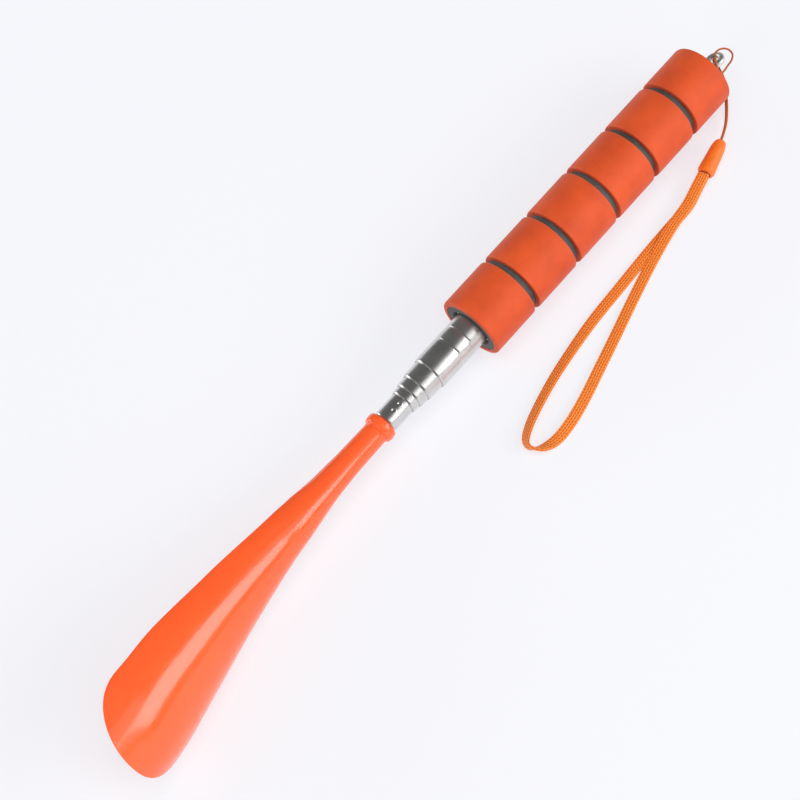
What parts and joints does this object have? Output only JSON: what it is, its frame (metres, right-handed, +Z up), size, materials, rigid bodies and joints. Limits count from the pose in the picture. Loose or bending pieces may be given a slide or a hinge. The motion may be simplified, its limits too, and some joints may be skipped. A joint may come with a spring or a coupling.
{
  "type": "long shoehorn",
  "caption": "Telescopic shoehorn with a curved plastic blade, sliding steel tubes, a banded foam grip and a wrist strap on an eye at the grip's end.",
  "frame": {"origin": "on the floor the closed shoehorn lies on, below the middle of its footprint, without the wrist strap", "axes": "+X along the tubes from the blade to the grip's rear end, +Z up from the floor, the wrist strap on the -Y side"},
  "size_m": [0.3291, 0.0616, 0.0366],
  "materials": {
    "blade_plastic": "gloss",
    "polished_steel": "polished",
    "spring_bronze": "satin",
    "grip_foam": "matte",
    "core_foam": "matte",
    "plug_plastic": "satin",
    "bead_plastic": "satin",
    "cord_yarn": "matte",
    "strap_yarn": "matte"
  },
  "bodies": {
    "handle": {"handle_tube": "polished_steel", "foam_core": "core_foam", "foam_band_1": "grip_foam", "foam_band_2": "grip_foam", "foam_band_3": "grip_foam", "foam_band_4": "grip_foam", "foam_band_5": "grip_foam", "foam_band_6": "grip_foam", "rear_plug": "plug_plastic", "lanyard_eye": "polished_steel", "lanyard_bead": "bead_plastic", "lanyard_cord": "cord_yarn", "lanyard_strap": "strap_yarn"},
    "slider_5": {"tube_5": "polished_steel", "friction_sleeve_5": "spring_bronze"},
    "slider_4": {"tube_4": "polished_steel", "friction_sleeve_4": "spring_bronze"},
    "slider_3": {"tube_3": "polished_steel", "friction_sleeve_3": "spring_bronze"},
    "slider_2": {"tube_2": "polished_steel", "friction_sleeve_2": "spring_bronze"},
    "slider_1": {"friction_sleeve_1": "spring_bronze"},
    "blade_stem": {"blade": "blade_plastic", "blade_tube": "polished_steel"}
  },
  "joints": [
    {"name": "slide_5", "type": "slide", "parent": "handle", "child": "slider_5", "axis": [-1, 0, 0], "range_m": [0, 0.092]},
    {"name": "slide_4", "type": "slide", "parent": "slider_5", "child": "slider_4", "axis": [-1, 0, 0], "range_m": [0, 0.092]},
    {"name": "slide_3", "type": "slide", "parent": "slider_4", "child": "slider_3", "axis": [-1, 0, 0], "range_m": [0, 0.092]},
    {"name": "slide_2", "type": "slide", "parent": "slider_3", "child": "slider_2", "axis": [-1, 0, 0], "range_m": [0, 0.092]},
    {"name": "slide_1", "type": "slide", "parent": "slider_2", "child": "slider_1", "axis": [-1, 0, 0], "range_m": [0, 0.092]},
    {"name": "blade_swivel", "type": "hinge", "parent": "slider_1", "child": "blade_stem", "pos_m": [-0.01228, 0.00615, 0.0126], "axis": [-1, 0, 0], "continuous": true}
  ]
}
